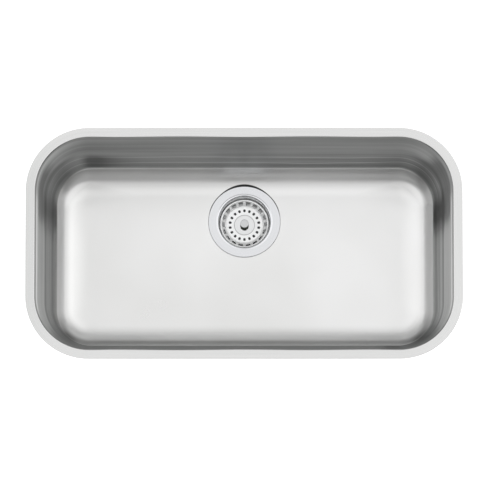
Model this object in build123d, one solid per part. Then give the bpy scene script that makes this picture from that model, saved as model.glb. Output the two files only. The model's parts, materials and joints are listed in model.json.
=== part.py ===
from build123d import *
import os
from math import cos, degrees, radians, sin, sqrt, tan

# A single-bowl undermount sink in pressed stainless steel with a basket strainer waste.
# Millimetres. +X runs along the bowl, +Y to its back and +Z up. The origin is the centre of
# the bowl's opening on the rim's top face, which seats against the underside of a worktop.

# Bowl: the opening is where the wall's plane meets the rim's top face
OPENING_X = 680.0
OPENING_Y = 349.0
CORNER_R = 88.0
RIM_WIDTH = 15.0
RIM_BEND_R = 0.8
BOWL_DEPTH = 190.0
WALL_DRAFT = 10.0
FLOOR_R = 42.0
SHEET = 1.0

# Sound deadening pads glued to the outside of the bowl
PAD_T = 2.0
PAD_CORNER_R = 10.0
FLOOR_PAD_X = 150.0
FLOOR_PAD_Y = 170.0
FLOOR_PAD_FROM_DRAIN = 165.0
WALL_PAD_X = 360.0
WALL_PAD_HEIGHT = 85.0
WALL_PAD_DROP = 80.0

# Recessed seat for the waste in the bowl's floor
DRAIN_Y = 64.0
SEAT_DEPTH = 1.6
SEAT_EDGE_GAP = 0.5
SEAT_DRAFT = 18.0
SEAT_EDGE_R = 0.6

# Waste flange: the visible lip, the cup that takes the basket and its spoked floor
CUP_R = 42.0
LIP_WIDTH = 16.6
CUP_WALL = 0.9
CUP_DEPTH = 50.0
CUP_CORNER_R = 6.0
THROAT_R = 5.0
HOLE_CLEARANCE = 0.4
SPOKE_COUNT = 4
SPOKE_WIDTH = 5.0
SPOKE_HUB_MARGIN = 3.0

# Seals above and below the bowl's floor
FLANGE_SEAL_T = 0.8
FLANGE_SEAL_EDGE = 2.0
BODY_SEAL_T = 3.0
BODY_SEAL_EDGE = 1.0

# Waste body under the bowl, with a threaded outlet and a spider that carries the screw's insert
BODY_FLANGE_EDGE = 1.0
BODY_WALL = 3.0
BODY_BEND_R = 1.0
BODY_CLEARANCE = 3.0
CONE_DROP = 16.0
CONE_R = 6.0
OUTLET_R = 23.9
OUTLET_LENGTH = 30.0
OUTLET_CHAMFER = 1.2
SPIDER_GAP = 3.0
SPIDER_ARMS = 4
ARM_WIDTH = 3.0
ARM_HEIGHT = 8.0
ARM_ABOVE_CONE = 1.0
HUB_WALL = 2.5
INSERT_R = 8.5
INSERT_LENGTH = 14.0

# Hollow clamp screw that draws the waste body up against the bowl
SCREW_R = 6.0
SCREW_HEAD_R = 10.0
SCREW_HEAD_T = 2.0
SCREW_PROUD = 2.0
SCREW_SLOT_WIDTH = 2.5
SCREW_SLOT_DEPTH = 1.0
SCREW_HOLE_CLEARANCE = 0.4
THREAD_CLEARANCE = 0.1

# Stopper on its stem, which lifts out with the basket
STEM_R = 3.0
STEM_HEAD_R = 4.0
STEM_HEAD_T = 2.5
COLLAR_R = 6.5
COLLAR_T = 2.0
PLATE_R = 30.0
PLATE_T = 2.0
SEAL_R = 33.0
SEAL_LAND = 7.0
SEAL_TAPER = 2.0
SEAL_HEAD_GAP = 2.0
WASHER_R = 6.0
WASHER_T = 1.0
NUT_FLATS = 10.0
NUT_T = 3.0
NUT_TO_SCREW = 0.8
CATCH_DROP = 6.0
CATCH_HEIGHT = 2.4
CATCH_GROOVE = 0.6
CATCH_PROUD = 0.7
CATCH_CLEARANCE = 0.25
STEM_TAIL = 5.0
STEM_TIP_CHAMFER = 1.0

# Basket and its knob, which turn on the stem
BASKET_CLEARANCE = 1.5
BASKET_WALL = 0.8
BASKET_DEPTH = 16.3
BEAD_R = 1.7
BASKET_FLOOR_R = 31.0
FLOOR_BEND_R = 2.5
WINDOW_COUNT = 18
WINDOW_SHARE = 0.72
WINDOW_RISE = 3.0
WINDOW_HEIGHT = 8.6
WINDOW_CORNER_R = 1.0
HOLE_RING_R = 24.0
HOLE_WIDTH = 3.0
HOLE_LENGTH = 4.0
KNOB_BASE_R = 16.4
KNOB_BASE_T = 1.0
KNOB_HEIGHT = 17.0
KNOB_WALL = 2.6
KNOB_EDGE_R = 0.8

# Gaps between pieces that move on each other
RUN_GAP = 0.3
SHAFT_GAP = 0.1

# Levels, from the bowl's floor down through the waste
floor_z = -BOWL_DEPTH
seat_z = floor_z - SEAT_DEPTH
seat_under_z = seat_z - SHEET
lip_under_z = seat_z + FLANGE_SEAL_T
lip_top_z = lip_under_z + CUP_WALL
cup_floor_z = floor_z - CUP_DEPTH
body_top_z = seat_under_z - BODY_SEAL_T
spider_top_z = cup_floor_z - CUP_WALL - SPIDER_GAP
cone_top_z = spider_top_z - ARM_HEIGHT - ARM_ABOVE_CONE
cone_low_z = cone_top_z - CONE_DROP
outlet_end_z = cone_low_z - OUTLET_LENGTH
screw_head_top_z = cup_floor_z + SCREW_HEAD_T
screw_end_z = spider_top_z - INSERT_LENGTH - SCREW_PROUD

# Levels of the stopper and the basket, stacked up from the cup's floor
seal_low_z = cup_floor_z + RUN_GAP
nut_low_z = screw_head_top_z + NUT_TO_SCREW
washer_low_z = nut_low_z + NUT_T
plate_low_z = washer_low_z + WASHER_T
collar_low_z = plate_low_z + PLATE_T
collar_top_z = collar_low_z + COLLAR_T
basket_under_z = collar_top_z + RUN_GAP
basket_floor_z = basket_under_z + BASKET_WALL
basket_rim_z = basket_floor_z + BASKET_DEPTH
knob_low_z = basket_floor_z + KNOB_BASE_T
stem_head_low_z = knob_low_z + RUN_GAP
stem_head_top_z = stem_head_low_z + STEM_HEAD_T
catch_top_z = cup_floor_z - CATCH_DROP
catch_low_z = catch_top_z - CATCH_HEIGHT
stem_low_z = catch_low_z - STEM_TAIL

# Radii that follow from what passes through or seats on what
draft_run = tan(radians(WALL_DRAFT))
sheet_across = SHEET / cos(radians(WALL_DRAFT))
lip_r = CUP_R + LIP_WIDTH
seat_r = lip_r + SEAT_EDGE_GAP
body_flange_r = lip_r + BODY_FLANGE_EDGE
cup_outer_r = CUP_R + CUP_WALL
throat_under_r = THROAT_R - CUP_WALL
throat_rise = max(throat_under_r - FLANGE_SEAL_T, 0.0)
throat_at_seat_r = CUP_R + THROAT_R - sqrt(throat_under_r**2 - throat_rise**2)
waste_hole_r = throat_at_seat_r + HOLE_CLEARANCE
body_r = cup_outer_r + BODY_CLEARANCE
outlet_bore_r = OUTLET_R - BODY_WALL
hub_r = INSERT_R + HUB_WALL
catch_inner_r = STEM_R - CATCH_GROOVE
catch_outer_r = STEM_R + CATCH_PROUD
screw_bore_r = catch_outer_r + CATCH_CLEARANCE
seal_bore_r = SCREW_HEAD_R + SEAL_HEAD_GAP
stem_hole_r = STEM_R + SHAFT_GAP
basket_r = CUP_R - BASKET_CLEARANCE
bead_centre_r = basket_r - BEAD_R
basket_mouth_r = bead_centre_r - BASKET_WALL / 2
knob_cavity_r = STEM_HEAD_R + RUN_GAP
knob_r = knob_cavity_r + KNOB_WALL

drain = Pos(0, DRAIN_Y, 0)


def turned(face):
    """A section drawn as radius and height, turned about the waste's axis."""
    return drain * revolve(Plane.XZ * face, Axis.Z)


def turned_sheet(points, radii, thickness):
    """Sheet turned about the waste's axis. The points run inwards along its upper face."""
    upper_face = Wire(FilletPolyline(*points, radius=radii).edges())
    return turned(make_face(upper_face.offset_2d(thickness, side=Side.LEFT).edges()))


def ring(outer_r, inner_r, low_z, top_z):
    """A plain ring about the waste's axis."""
    width = outer_r - inner_r
    section = Pos((outer_r + inner_r) / 2, (low_z + top_z) / 2) * Rectangle(width, top_z - low_z)
    return turned(section)


def around_drain(shape, count):
    """Copies of a shape that is drawn on the +Y side of the waste's axis."""
    return [drain * Rot(0, 0, 360 * i / count) * shape for i in range(count)]


def bowl_block(grow, depth, floor_r):
    """The tapered, round-bottomed block inside the bowl, or inside its outer skin."""
    corner_r = CORNER_R + grow
    outline = RectangleRounded(OPENING_X + 2 * grow, OPENING_Y + 2 * grow, corner_r)
    block = extrude(outline, amount=depth, dir=(0, 0, -1), taper=WALL_DRAFT)
    return fillet(block.faces().sort_by(Axis.Z)[0].edges(), floor_r)


def seat_cone(low_r, low_z):
    """The block inside the recess that takes the waste's lip, or inside its outer skin."""
    height = floor_z + FLOOR_R / 2 - low_z
    top_r = low_r + height * tan(radians(SEAT_DRAFT))
    return Pos(0, DRAIN_Y, low_z + height / 2) * Cone(low_r, top_r, height)


def make_bowl():
    rim_outline = RectangleRounded(
        OPENING_X + 2 * RIM_WIDTH, OPENING_Y + 2 * RIM_WIDTH, CORNER_R + RIM_WIDTH
    )
    rim = extrude(rim_outline, amount=SHEET, dir=(0, 0, -1))
    skin = rim + bowl_block(sheet_across, BOWL_DEPTH + SHEET, FLOOR_R + SHEET)
    under_bend = skin.faces().filter_by(Plane.XY).sort_by(Axis.Z)[-2].inner_wires()[0].edges()
    skin = fillet(under_bend, RIM_BEND_R)
    cone_turn = radians(SEAT_DRAFT)
    skin_seat_r = seat_r + SHEET * (1 - sin(cone_turn)) / cos(cone_turn)
    skin += seat_cone(skin_seat_r, seat_under_z)
    hollow = bowl_block(0, BOWL_DEPTH, FLOOR_R) + seat_cone(seat_r, seat_z)
    seat_wall = hollow.faces().filter_by(GeomType.CONE).sort_by_distance((0, DRAIN_Y, seat_z))[0]
    hollow = fillet(seat_wall.edges().sort_by(Axis.Z)[1:], SEAT_EDGE_R)
    bowl = skin - hollow
    rim_edge = bowl.faces().sort_by(Axis.Z)[-1].inner_wires()[0].edges()
    bowl = fillet(rim_edge, RIM_BEND_R + SHEET)
    return bowl - Pos(0, DRAIN_Y, seat_z) * Cylinder(waste_hole_r, 2 * (SHEET + SEAT_DEPTH))


def make_floor_pad(side):
    outline = RectangleRounded(FLOOR_PAD_X, FLOOR_PAD_Y, PAD_CORNER_R)
    place = Pos(side * FLOOR_PAD_FROM_DRAIN, 0, floor_z - SHEET)
    return place * extrude(outline, amount=PAD_T, dir=(0, 0, -1))


def make_wall_pad(side):
    """A pad on the outside of a long wall; side is -1 at the front and 1 at the back."""
    wall_y = OPENING_Y / 2 + sheet_across - WALL_PAD_DROP * draft_run
    outward = (0, side * cos(radians(WALL_DRAFT)), -sin(radians(WALL_DRAFT)))
    face = Plane(origin=(0, side * wall_y, -WALL_PAD_DROP), x_dir=(1, 0, 0), z_dir=outward)
    return extrude(face * RectangleRounded(WALL_PAD_X, WALL_PAD_HEIGHT, PAD_CORNER_R), PAD_T)


def make_waste_flange():
    hole_r = SCREW_R + SCREW_HOLE_CLEARANCE
    points = [
        (lip_r, lip_top_z),
        (CUP_R, lip_top_z),
        (CUP_R, cup_floor_z),
        (hole_r, cup_floor_z),
    ]
    flange = turned_sheet(points, [THROAT_R, CUP_CORNER_R], CUP_WALL)
    inner_r = SCREW_HEAD_R + SPOKE_HUB_MARGIN
    outer_r = SEAL_R - SEAL_LAND
    middle_r = (inner_r + outer_r) / 2
    width = outer_r - inner_r
    sweep = 360 / SPOKE_COUNT - degrees((width + SPOKE_WIDTH) / middle_r)
    opening = SlotArc(CenterArc((0, 0), middle_r, 90 - sweep / 2, sweep), width)
    cut = Pos(0, 0, cup_floor_z - CUP_WALL) * extrude(opening, amount=2 * CUP_WALL, both=True)
    return flange - around_drain(cut, SPOKE_COUNT)


def make_waste_body():
    bend_r = BODY_BEND_R + BODY_WALL
    points = [
        (body_flange_r, body_top_z),
        (body_r, body_top_z),
        (body_r, cone_top_z),
        (outlet_bore_r, cone_low_z),
        (outlet_bore_r, outlet_end_z),
    ]
    body = turned_sheet(points, [bend_r, CONE_R, bend_r], BODY_WALL)
    end_edge = body.edges().filter_by(GeomType.CIRCLE).group_by(Axis.Z)[0].sort_by(SortBy.RADIUS)[-1]
    body = chamfer(end_edge, OUTLET_CHAMFER)
    arm_reach = body_r + BODY_WALL / 2
    arm_z = spider_top_z - ARM_HEIGHT / 2
    arm = Pos(0, arm_reach / 2, arm_z) * Box(ARM_WIDTH, arm_reach, ARM_HEIGHT)
    hub_z = spider_top_z - INSERT_LENGTH / 2
    spider = Pos(0, DRAIN_Y, hub_z) * Cylinder(hub_r, INSERT_LENGTH)
    spider += around_drain(arm, SPIDER_ARMS)
    spider -= Pos(0, DRAIN_Y, hub_z) * Cylinder(INSERT_R, 2 * INSERT_LENGTH)
    return body + spider


def make_thread_insert():
    return ring(INSERT_R, SCREW_R + THREAD_CLEARANCE, spider_top_z - INSERT_LENGTH, spider_top_z)


def make_clamp_screw():
    screw = ring(SCREW_HEAD_R, screw_bore_r, cup_floor_z, screw_head_top_z)
    screw += ring(SCREW_R, screw_bore_r, screw_end_z, cup_floor_z)
    slot = Pos(0, DRAIN_Y, screw_head_top_z) * Box(
        2 * SCREW_HEAD_R, SCREW_SLOT_WIDTH, 2 * SCREW_SLOT_DEPTH
    )
    return screw - slot


def make_stem():
    stem = ring(STEM_HEAD_R, 0, stem_head_low_z, stem_head_top_z)
    stem += ring(COLLAR_R, 0, collar_low_z, collar_top_z)
    shank = ring(STEM_R, 0, stem_low_z, stem_head_low_z)
    tip = shank.edges().filter_by(GeomType.CIRCLE).sort_by(Axis.Z)[0]
    stem += chamfer(tip, STEM_TIP_CHAMFER)
    return stem - ring(STEM_HEAD_R, catch_inner_r, catch_low_z, catch_top_z)


def make_stopper_seal():
    points = [
        (seal_bore_r, seal_low_z),
        (SEAL_R, seal_low_z),
        (SEAL_R - SEAL_TAPER, plate_low_z),
        (seal_bore_r, plate_low_z),
    ]
    return turned(make_face(Polyline(*points, close=True)))


def make_stem_nut():
    outline = RegularPolygon(NUT_FLATS / 2, 6, major_radius=False) - Circle(STEM_R)
    return Pos(0, DRAIN_Y, nut_low_z) * extrude(outline, amount=NUT_T)


def make_basket_cup():
    points = [
        (basket_mouth_r, basket_rim_z - BEAD_R),
        (BASKET_FLOOR_R, basket_floor_z),
        (stem_hole_r, basket_floor_z),
    ]
    cup = turned_sheet(points, FLOOR_BEND_R, BASKET_WALL)
    cup += turned(Pos(bead_centre_r, basket_rim_z - BEAD_R) * Circle(BEAD_R))
    window_z = basket_floor_z + WINDOW_RISE + WINDOW_HEIGHT / 2
    window_width = WINDOW_SHARE * radians(360 / WINDOW_COUNT) * BASKET_FLOOR_R
    window = RectangleRounded(window_width, WINDOW_HEIGHT, WINDOW_CORNER_R)
    window_plane = Plane(origin=(0, HOLE_RING_R, window_z), x_dir=(1, 0, 0), z_dir=(0, 1, 0))
    window_cut = extrude(window_plane * window, amount=CUP_R - HOLE_RING_R)
    hole = Pos(0, HOLE_RING_R, basket_floor_z) * Rot(0, 0, 90) * SlotOverall(HOLE_LENGTH, HOLE_WIDTH)
    hole_cut = extrude(hole, amount=2 * BASKET_WALL, both=True)
    half_pitch = Rot(0, 0, 180 / WINDOW_COUNT)
    cup -= around_drain(half_pitch * window_cut, WINDOW_COUNT)
    return cup - around_drain(hole_cut, WINDOW_COUNT)


def make_knob():
    cavity_top_z = stem_head_top_z + RUN_GAP
    knob_top_z = knob_low_z + KNOB_HEIGHT
    side = FilletPolyline(
        (knob_r, knob_low_z),
        (knob_r, knob_top_z),
        (0, knob_top_z),
        radius=KNOB_EDGE_R,
    )
    inside = Polyline(
        (0, knob_top_z),
        (0, cavity_top_z),
        (knob_cavity_r, cavity_top_z),
        (knob_cavity_r, knob_low_z),
        (knob_r, knob_low_z),
    )
    return turned(make_face(side.edges() + inside.edges()))


pieces = {
    "bowl": make_bowl(),
    "floor_pad_left": make_floor_pad(-1),
    "floor_pad_right": make_floor_pad(1),
    "front_wall_pad": make_wall_pad(-1),
    "back_wall_pad": make_wall_pad(1),
    "flange_seal": ring(lip_r - FLANGE_SEAL_EDGE, CUP_R + THROAT_R, seat_z, lip_under_z),
    "waste_flange": make_waste_flange(),
    "body_seal": ring(lip_r, waste_hole_r + BODY_SEAL_EDGE, body_top_z, seat_under_z),
    "waste_body": make_waste_body(),
    "thread_insert": make_thread_insert(),
    "clamp_screw": make_clamp_screw(),
    "stem": make_stem(),
    "stopper_plate": ring(PLATE_R, STEM_R, plate_low_z, collar_low_z),
    "stopper_seal": make_stopper_seal(),
    "stem_washer": ring(WASHER_R, STEM_R, washer_low_z, plate_low_z),
    "stem_nut": make_stem_nut(),
    "catch_ring": ring(catch_outer_r, catch_inner_r, catch_low_z, catch_top_z),
    "basket_cup": make_basket_cup(),
    "knob_base": ring(KNOB_BASE_R, stem_hole_r, basket_floor_z, knob_low_z),
    "knob": make_knob(),
}

os.makedirs("parts", exist_ok=True)
for name, piece in pieces.items():
    export_step(piece, f"parts/{name}.step")
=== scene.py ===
import bmesh
import bpy
import json
from math import acos, atan2, cos, degrees, exp, hypot, pi, radians, sin, tan
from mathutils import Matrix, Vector


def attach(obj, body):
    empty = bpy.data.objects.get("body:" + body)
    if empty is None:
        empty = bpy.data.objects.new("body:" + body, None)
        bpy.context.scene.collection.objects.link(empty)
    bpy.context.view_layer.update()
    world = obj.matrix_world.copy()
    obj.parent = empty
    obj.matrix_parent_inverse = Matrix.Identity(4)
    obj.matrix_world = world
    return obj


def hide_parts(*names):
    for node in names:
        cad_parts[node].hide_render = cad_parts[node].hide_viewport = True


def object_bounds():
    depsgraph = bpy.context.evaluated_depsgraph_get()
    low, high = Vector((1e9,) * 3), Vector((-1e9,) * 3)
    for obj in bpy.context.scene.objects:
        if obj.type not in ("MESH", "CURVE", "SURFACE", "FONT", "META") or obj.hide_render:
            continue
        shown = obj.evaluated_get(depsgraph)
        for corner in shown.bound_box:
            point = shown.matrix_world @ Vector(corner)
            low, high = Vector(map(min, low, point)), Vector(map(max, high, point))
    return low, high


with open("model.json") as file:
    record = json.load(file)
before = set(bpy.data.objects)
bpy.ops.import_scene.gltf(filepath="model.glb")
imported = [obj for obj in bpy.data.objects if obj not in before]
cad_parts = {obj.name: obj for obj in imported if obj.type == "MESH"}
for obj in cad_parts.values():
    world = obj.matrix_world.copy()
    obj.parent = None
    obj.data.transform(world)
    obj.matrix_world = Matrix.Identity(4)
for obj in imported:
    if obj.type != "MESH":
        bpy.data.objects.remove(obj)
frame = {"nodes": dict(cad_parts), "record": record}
cad_box = [list(corner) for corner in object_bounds()]
nodes = frame["nodes"]
scene = bpy.context.scene
MM = 0.001

# Sizes of the bowl, in millimetres and radians, as the part's solid has them
OPENING_X = 680.0
OPENING_Y = 349.0
CORNER_R = 88.0
RIM_WIDTH = 15.0
BEND_R = 1.8  # from the rim to the wall
DEPTH = 190.0
DRAFT = radians(10.0)
FLOOR_R = 42.0  # from the wall to the floor
SHEET = 1.0
DRAIN_Y = 64.0  # the waste's axis
SEAT_R = 59.1  # foot of the recess that the waste's lip lies in
SEAT_Z = -191.6
SEAT_DRAFT = radians(18.0)
HOLE_R = 44.97

# Smaller forms of the sheet, in millimetres and radians
EDGE_R = 39.5  # the fillet along the short walls
EDGE_END = radians(11.0)  # slope at which it runs out in a dish
RIM_EDGE = 0.25
SEAT_ROUND = 0.65  # rounding of the recess's edge: its run on the floor and down the wall
SEAT_ROUND_DOWN = 0.8
SEAT_FOOT = 0.4  # height at which the recess's wall starts to round into the seat
SEAT_FOOT_ROUND = [(0.25, 0.03), (1.0, 0.0)]
SEAT_MIDDLE = 52.0
SEAT_UNDER = 0.6
EASE = 70.0  # how the outline's corners are eased far in
EASE_FROM = (55.0, 95.0)
TURN_FROM = 50.0
TURN_HALF = 40.0
SPRING = 0.42  # springback of the long walls
SPRING_WAVE = 105.0
SPRING_ENDS = 45.0
SPRING_DEPTH = 150.0
SPRING_SIDES = (40.0, 120.0)
SPRING_RIM = 1.0
CREASE_RISE = 0.45  # the crease between wall and fillet
CREASE_HALF = 1.6
CREASE_SHIFT = {"left": 5.2, "right": 3.0}
CREASE_SPREAD = 0.14

# The bowl's mesh
LONG_STEPS = 52
SHORT_STEPS = 20
CORNER_STEPS = 26
COARSE_STEP = 10.0  # along the back wall, in millimetres, and close to the waste
FINE_STEP = 2.4
FINE_SPAN = (0.34, 0.18)
RIM_ROWS = (-14.0, -9.0, -5.0)
BEND_LEAD = 0.6
BEND_ROWS = 10
WALL_ROWS = 24
CREASE_NEAR = 5.0
CREASE_ROWS = (10, 8)
EDGE_ROWS = 18
FLOOR_FROM = 44.0  # offset from which the rows lead to the waste
FILLET_ROWS = 14
FLAT_ROWS = 12
FLAT_SHARE = 0.25
ROUND_ROWS = 5
SEAT_TAG = 999.0  # offset given to the recess's points
BOWL_SHARP = radians(42)

# Painted shade and painted highlight on the bowl, which stand in for its reflections. A pair is the
# range that a look fades in or out over,
# or the middle and half width of a patch: millimetres of depth, offset or run, degrees of slope.
WALL_PAINTED_SHADE = {"left": 0.6, "right": 0.5, "back": 0.72, "front": 1.0}
WALL_START = (-1.0, 1.2)
WALL_FOOT = (3.0, -3.0)
SHORT_TOP = (0.4, (45.0, 12.0))
SHORT_LOW = (0.32, (60.0, 100.0))
SHORT_FOOT = (0.22, (143.0, 158.0))
SIDE_LINES = [(66.0, 6.0, -0.18), (82.0, 6.0, 0.24), (106.0, 6.0, -0.07), (138.0, 6.0, 0.05)]
# painted shade in and next to a corner, for its dark reflections: on the short wall past its end,
# in its middle, on the long wall
CORNER_PAINTED_SHADE = {
    ("left", "back"): (0.55, 0.26, 0.5), ("right", "back"): (1.1, 0.36, 0.14),
    ("left", "front"): (0.0, 0.42, 0.06), ("right", "front"): (0.0, 0.85, 0.6),
}
CORNER_SHADE_STRENGTH = 0.74
CORNER_MIDDLE = {"back": (0.785, 0.5), "front": (0.96, 0.36)}  # radians round the corner
CORNER_MEASURE = 21.0  # offset on which runs round the corners are measured
FRONT_SHORT = (12.0, 17.0)
FRONT_LONG = (10.0, 17.0)
FRONT_DEPTH = (90.0, 80.0)
BACK_SHORT = (18.0, 25.0)
BACK_DEPTH = (45.0, 88.0)
BACK_LONG = (-24.0, 6.0)
BACK_LONG_TAIL = 45.0
BACK_LONG_DEPTH = (76.0, 108.0)
UPPER_PAINTED_SHADE = {"left": 0.55, "right": 0.8}
UPPER_START = {"left": -62.0, "right": -72.0}
UPPER_RISE = 40.0
UPPER_END = (70.0, 25.0)
UPPER_DEPTHS = ((9.0, 24.0), (98.0, 58.0))
# painted highlight on the fillet: strength, slopes at which it comes in from the floor, slopes at
# which it ends upwards
SIDE_SHINE = (0.85, (27.0, 46.0), (82.0, 60.0))
BACK_SHINE = (0.82, (23.0, 38.0), (82.0, 60.0))
FRONT_SHINE = (1.0, (20.0, 29.0), (52.0, 38.0))
CORNER_SHINE = {
    "left": (0.75, (26.0, 41.0), (54.0, 38.0)), "right": (0.75, (20.0, 34.0), (54.0, 38.0)),
}
CORNER_SHARE = 0.8
# painted shade on the fillet, high up at the front and towards the corners
FRONT_HIGH_SHADE = (0.12, (38.0, 47.0), (66.0, 54.0))
CORNER_FADE = (26.0, 76.0)
CORNER_SOFT = {"back": 0.56, "front": 0.34}
CORNER_SOFT_SLOPES = ((0.0, 24.0), (50.0, 30.0))
FRONT_SOFT = (0.18, (12.0, 30.0))
# painted highlight along the crease: half width, what the corners lose, share left at the front
CREASE_HIGHLIGHT_HALF = 4.0
CREASE_HIGHLIGHT_CORNER = 0.74
CREASE_HIGHLIGHT_FRONT = 0.85
CREASE_HIGHLIGHT_GRAIN = 0.35
# painted shade on the rim and as a thin dark line along its bend, and a painted highlight strip
# under it
RIM_PAINTED_SHADE = {"left": 0.34, "right": 0.16}
BEND_PAINTED_SHADE = 0.25
BEND_CORNER_PAINTED_SHADE = 0.6
BEND_LINE = (0.1, 0.55)
BEND_SIDE_PAINTED_SHADE = 0.8
BEND_SIDE_LINE = (0.8, 0.8)
TOP_PAINTED_HIGHLIGHT = (0.75, (7.0, 12.0), (25.0, 15.0))
TOP_FADE = {"back": (-14.0, 20.0), "front": (-40.0, -8.0)}
# painted shade on the recess's wall: strength, how far it lies behind the waste, radii
SEAT_PAINTED_SHADE = 1.45
SEAT_SHADE_BEHIND = (0.02, 0.5)
SEAT_SHADE_RADII = (51.0, 58.6)

# Grain and lines on the walls, in metres
GRAIN_OFFSET = 20.0  # in millimetres, where the run round the bowl is measured
GRAIN_RIM = [-0.001, -0.002]  # on the two points of the rim's edge
GRAIN_UNDER = 0.4
BRUSHED_END = 0.9  # in millimetres past the wall's foot
WALL_LINES = [(0.1145, 0.0026, 0.016, 1.3), (0.1405, 0.0030, 0.010, 7.7)]
PAINTED_SHADE_FULL = 1.5
RINGS = 900.0  # turned rings per metre

# Light and camera
SKY = 1.12
CAMERA_TILT = radians(8.5)
CAMERA_TURN = radians(0.15)
CAMERA_AWAY = 11.0
CAMERA_AIM = (0.0015, -0.0034, 0.0)
VIEW_WIDTH = 0.7955
SENSOR = 36.0

# The bowl's profile: offset inwards from the opening's outline against depth. The fillet is one arc
# along the long walls; along the short ones it runs out in a shallow dish.
HALF_X = OPENING_X / 2 - CORNER_R
HALF_Y = OPENING_Y / 2 - CORNER_R
bend_centre = BEND_R * tan(DRAFT) - BEND_R / cos(DRAFT)
bend_end = bend_centre + BEND_R * cos(DRAFT)
wall_end = (DEPTH - FLOOR_R) * tan(DRAFT) + FLOOR_R / cos(DRAFT) - FLOOR_R * cos(DRAFT)
edge_end = wall_end + EDGE_R * (cos(DRAFT) - sin(EDGE_END))
edge_depth = wall_end / tan(DRAFT) + EDGE_R * (cos(EDGE_END) - sin(DRAFT))
dish_r = (DEPTH - edge_depth) / (1 - cos(EDGE_END))
dish_start = edge_end + dish_r * sin(EDGE_END)
arc_start = wall_end + FLOOR_R * cos(DRAFT)
floor_start = max(dish_start, arc_start)


def smooth(low, high, value):
    t = min(max((value - low) / (high - low), 0.0), 1.0)
    return t * t * (3 - 2 * t)


def bell(value, middle, width):
    return exp(-((value - middle) / width) ** 2)


def graded(value, strength, *ranges):
    """A strength that fades in or out over each range of a value."""
    for low, high in ranges:
        strength *= smooth(low, high, value)
    return strength


def last_where(holds, low, high, steps=40):
    """The furthest value from low towards high at which a test still holds."""
    for _ in range(steps):
        middle = (low + high) / 2
        if holds(middle):
            low = middle
        else:
            high = middle
    return low


def arc(short_of, radius):
    """Depth and slope of an arc that runs level into the floor, short of its end."""
    run = short_of / radius
    rise = (1 - run * run) ** 0.5
    return DEPTH - radius * (1 - rise), atan2(run, rise)


def surface(offset, out):
    """Depth and slope of the bowl's upper face at an offset inwards from the opening's outline."""
    if offset <= bend_centre:
        return 0.0, 0.0
    if offset < bend_end:
        turn = min((offset - bend_centre) / BEND_R, 1.0)
        angle = atan2(turn, max(1 - turn * turn, 0.0) ** 0.5)
        return BEND_R * (1 - cos(angle)), angle
    if offset < wall_end:
        return offset / tan(DRAFT), pi / 2 - DRAFT
    plain = arc(max(arc_start - offset, 0.0), FLOOR_R)
    if offset < edge_end:
        run = cos(DRAFT) - (offset - wall_end) / EDGE_R
        rise = (1 - run * run) ** 0.5
        dished = wall_end / tan(DRAFT) + EDGE_R * (rise - sin(DRAFT)), atan2(run, rise)
    else:
        dished = arc(max(dish_start - offset, 0.0), dish_r)
    share = out[0] * out[0]
    return tuple(a + (b - a) * share for a, b in zip(plain, dished))


def inset(x, y):
    """How far a point lies inside the opening's outline, and the outline's outward direction."""
    dx = abs(x) - HALF_X
    dy = abs(y) - HALF_Y
    sx = 1 if x >= 0 else -1
    sy = 1 if y >= 0 else -1
    if dx > 0 and dy > 0:
        reach = hypot(dx, dy)
        out = (sx * dx / reach, sy * dy / reach)
    else:
        reach = max(dx, dy)
        out = (sx, 0) if dx > dy else (0, sy)
    # far in, the outline's corners are eased, so that the floor has no fold on its diagonals
    ease = max(EASE - abs(dx - dy), 0.0) / EASE
    eased = max(dx, dy) + ease * ease * EASE / 4
    share = smooth(*EASE_FROM, CORNER_R - reach)
    turned = smooth(TURN_FROM, CORNER_R, CORNER_R - reach)
    across = (1 - turned) * out[0] ** 2 + turned * smooth(-TURN_HALF, TURN_HALF, dx - dy)
    offset = CORNER_R - reach - share * (eased - reach)
    return offset, (sx * across ** 0.5, sy * (1 - across) ** 0.5)


def bowl_columns():
    """Columns round the bowl: the centre that each turns on and its outward direction."""
    columns = []

    def side(start, end, out, stations):
        for s in stations:
            x = start[0] + (end[0] - start[0]) * s
            y = start[1] + (end[1] - start[1]) * s
            columns.append((x, y, *out))

    def corner(x, y, first):
        for i in range(CORNER_STEPS):
            angle = first + pi / 2 * i / CORNER_STEPS
            columns.append((x, y, cos(angle), sin(angle)))

    plain_x = [i / LONG_STEPS for i in range(LONG_STEPS)]
    plain_y = [i / SHORT_STEPS for i in range(SHORT_STEPS)]
    fine_x = []
    s = 0.0
    while s < 1 - 1e-6:
        fine_x.append(s)
        near = smooth(*FINE_SPAN, abs(s - 0.5))
        s += (COARSE_STEP - (COARSE_STEP - FINE_STEP) * near) / (2 * HALF_X)
    fine_x = [v / s for v in fine_x]
    side((-HALF_X, -HALF_Y), (HALF_X, -HALF_Y), (0, -1), plain_x)
    corner(HALF_X, -HALF_Y, -pi / 2)
    side((HALF_X, -HALF_Y), (HALF_X, HALF_Y), (1, 0), plain_y)
    corner(HALF_X, HALF_Y, 0)
    side((HALF_X, HALF_Y), (-HALF_X, HALF_Y), (0, 1), fine_x)
    corner(-HALF_X, HALF_Y, pi / 2)
    side((-HALF_X, HALF_Y), (-HALF_X, -HALF_Y), (-1, 0), plain_y)
    corner(-HALF_X, -HALF_Y, pi)
    return columns


def springback(x, y, depth):
    """How far the long walls spring outwards after pressing, most at the opening, in mm."""
    ends = smooth(HALF_X, HALF_X - SPRING_ENDS, abs(x))
    top = max(1 - depth / SPRING_DEPTH, 0.0)
    return -SPRING * cos(pi * x / SPRING_WAVE) * ends * top * smooth(*SPRING_SIDES, abs(y))


def crease_run(offset, out):
    """Run along the profile from the punch's crease, which lies lower on the short walls, in mm."""
    share = out[0] * out[0]
    place = wall_end + CREASE_SHIFT["left" if out[0] < 0 else "right"] * share
    return (offset - place) / (sin(DRAFT) + CREASE_SPREAD * share)


def crease(offset, out):
    """The low ridge along the crease, in mm along the normal."""
    return CREASE_RISE * bell(crease_run(offset, out), 0.0, CREASE_HALF)


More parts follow.
